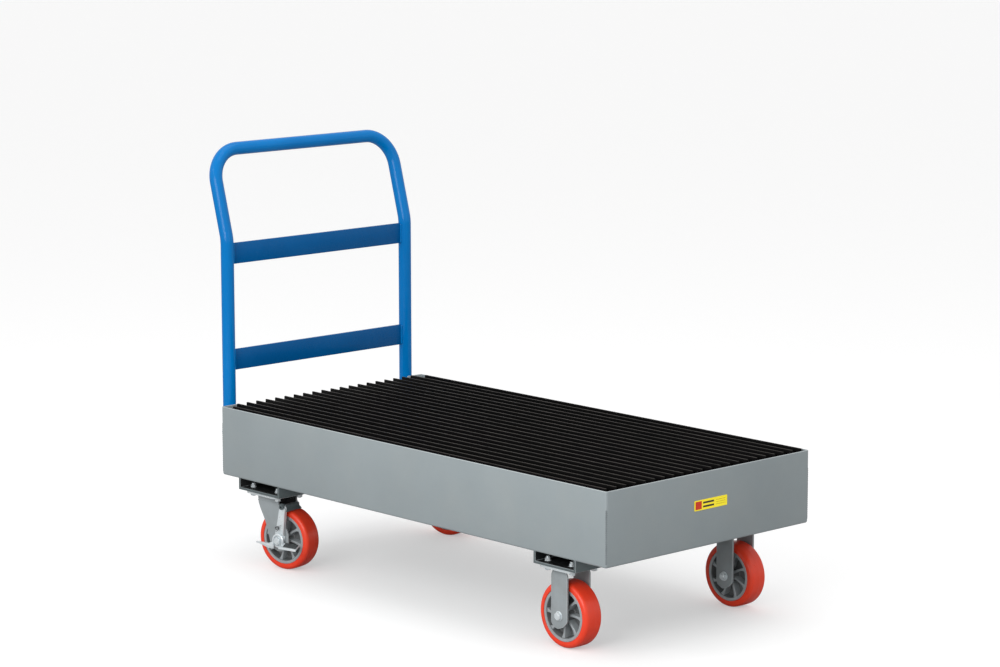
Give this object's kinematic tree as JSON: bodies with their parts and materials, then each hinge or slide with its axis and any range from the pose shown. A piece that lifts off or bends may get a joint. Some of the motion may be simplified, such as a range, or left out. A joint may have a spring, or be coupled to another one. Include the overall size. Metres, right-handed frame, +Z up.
{
  "type": "spill containment drum truck",
  "caption": "Low drum dolly with a sheet steel sump tray, lift-out bar grating deck, bent tube push handle, fixed casters and braked swivel casters.",
  "frame": {"origin": "on the floor, under the centre of the truck's overall box", "axes": "+X towards the rigid casters (the end away from the handle), +Y to the left, +Z up"},
  "size_m": [1.4118, 0.645, 1.0104],
  "materials": {
    "grey_paint": "textured grey powder coat over welded steel sheet",
    "handle_blue": "smooth semi-gloss blue powder coat",
    "deck_black": "black dipped paint on bar grating",
    "zinc_plate": "bright zinc plating on steel",
    "orange_tread": "moulded orange-red polyurethane, satin",
    "cast_core": "grey painted casting",
    "bearing_steel": "oiled steel",
    "label_film": "printed film plate, blank"
  },
  "bodies": {
    "chassis": {"cross_support_1": "grey_paint", "cross_support_2": "grey_paint", "front_ledge": "grey_paint", "front_wall": "grey_paint", "handle_bolt_left": "zinc_plate", "handle_bolt_right": "zinc_plate", "handle_end_wall": "grey_paint", "handle_tube": "handle_blue", "lower_crossbar": "handle_blue", "name_label": "label_film", "rear_ledge": "grey_paint", "rigid_channel": "grey_paint", "rigid_left_axle_bolt": "zinc_plate", "rigid_left_frame": "grey_paint", "rigid_left_mount_bolt_1": "zinc_plate", "rigid_left_mount_bolt_2": "zinc_plate", "rigid_left_mount_bolt_3": "zinc_plate", "rigid_left_mount_bolt_4": "zinc_plate", "rigid_right_axle_bolt": "zinc_plate", "rigid_right_frame": "grey_paint", "rigid_right_mount_bolt_1": "zinc_plate", "rigid_right_mount_bolt_2": "zinc_plate", "rigid_right_mount_bolt_3": "zinc_plate", "rigid_right_mount_bolt_4": "zinc_plate", "sump_tray": "grey_paint", "swivel_channel": "grey_paint", "swivel_left_kingpin": "zinc_plate", "swivel_left_mount_bolt_1": "zinc_plate", "swivel_left_mount_bolt_2": "zinc_plate", "swivel_left_mount_bolt_3": "zinc_plate", "swivel_left_mount_bolt_4": "zinc_plate", "swivel_left_top_plate": "grey_paint", "swivel_right_kingpin": "zinc_plate", "swivel_right_mount_bolt_1": "zinc_plate", "swivel_right_mount_bolt_2": "zinc_plate", "swivel_right_mount_bolt_3": "zinc_plate", "swivel_right_mount_bolt_4": "zinc_plate", "swivel_right_top_plate": "grey_paint", "upper_crossbar": "handle_blue"},
    "deck": {"deck_grating": "deck_black"},
    "swivel_left_fork": {"swivel_left_yoke": "grey_paint", "swivel_left_axle_bolt": "zinc_plate"},
    "swivel_left_wheel": {"swivel_left_tyre": "orange_tread", "swivel_left_wheel_core": "cast_core", "swivel_left_bearing": "bearing_steel"},
    "swivel_left_pedal": {"swivel_left_brake_pedal": "zinc_plate"},
    "swivel_left_brake": {"swivel_left_brake_arm": "zinc_plate"},
    "rigid_left_wheel": {"rigid_left_tyre": "orange_tread", "rigid_left_wheel_core": "cast_core", "rigid_left_bearing": "bearing_steel"},
    "swivel_right_fork": {"swivel_right_yoke": "grey_paint", "swivel_right_axle_bolt": "zinc_plate"},
    "swivel_right_wheel": {"swivel_right_tyre": "orange_tread", "swivel_right_wheel_core": "cast_core", "swivel_right_bearing": "bearing_steel"},
    "swivel_right_pedal": {"swivel_right_brake_pedal": "zinc_plate"},
    "swivel_right_brake": {"swivel_right_brake_arm": "zinc_plate"},
    "rigid_right_wheel": {"rigid_right_tyre": "orange_tread", "rigid_right_wheel_core": "cast_core", "rigid_right_bearing": "bearing_steel"}
  },
  "joints": [
    {"name": "deck_lift", "type": "slide", "parent": "chassis", "child": "deck", "axis": [0, 0, 1], "range_m": [0, 0.12]},
    {"name": "swivel_left_turn", "type": "hinge", "parent": "chassis", "child": "swivel_left_fork", "pos_m": [-0.48212, 0.2625, 0.16], "axis": [0, 0, 1], "continuous": true},
    {"name": "swivel_left_wheel_spin", "type": "hinge", "parent": "swivel_left_fork", "child": "swivel_left_wheel", "pos_m": [-0.44395, 0.27054, 0.075], "axis": [-0.2062, 0.9785, 0], "continuous": true},
    {"name": "swivel_left_pedal_rock", "type": "hinge", "parent": "swivel_left_fork", "child": "swivel_left_pedal", "pos_m": [-0.44395, 0.27054, 0.075], "axis": [-0.2062, 0.9785, 0], "range_deg": [0, 24]},
    {"name": "swivel_left_brake_press", "type": "slide", "parent": "swivel_left_fork", "child": "swivel_left_brake", "axis": [0, 0, -1], "range_m": [0, 0.0015]},
    {"name": "rigid_left_wheel_spin", "type": "hinge", "parent": "chassis", "child": "rigid_left_wheel", "pos_m": [0.53738, 0.2631, 0.075], "axis": [0, 1, 0], "continuous": true},
    {"name": "swivel_right_turn", "type": "hinge", "parent": "chassis", "child": "swivel_right_fork", "pos_m": [-0.48212, -0.2625, 0.16], "axis": [0, 0, 1], "continuous": true},
    {"name": "swivel_right_wheel_spin", "type": "hinge", "parent": "swivel_right_fork", "child": "swivel_right_wheel", "pos_m": [-0.44395, -0.25446, 0.075], "axis": [-0.2062, 0.9785, 0], "continuous": true},
    {"name": "swivel_right_pedal_rock", "type": "hinge", "parent": "swivel_right_fork", "child": "swivel_right_pedal", "pos_m": [-0.44395, -0.25446, 0.075], "axis": [-0.2062, 0.9785, 0], "range_deg": [0, 24]},
    {"name": "swivel_right_brake_press", "type": "slide", "parent": "swivel_right_fork", "child": "swivel_right_brake", "axis": [0, 0, -1], "range_m": [0, 0.0015]},
    {"name": "rigid_right_wheel_spin", "type": "hinge", "parent": "chassis", "child": "rigid_right_wheel", "pos_m": [0.53738, -0.2631, 0.075], "axis": [0, 1, 0], "continuous": true}
  ],
  "couplings": [
    {"joint": "swivel_left_brake_press", "follows": "swivel_left_pedal_rock", "m_per_rad": 0.0035},
    {"joint": "swivel_right_brake_press", "follows": "swivel_right_pedal_rock", "m_per_rad": 0.0035}
  ]
}
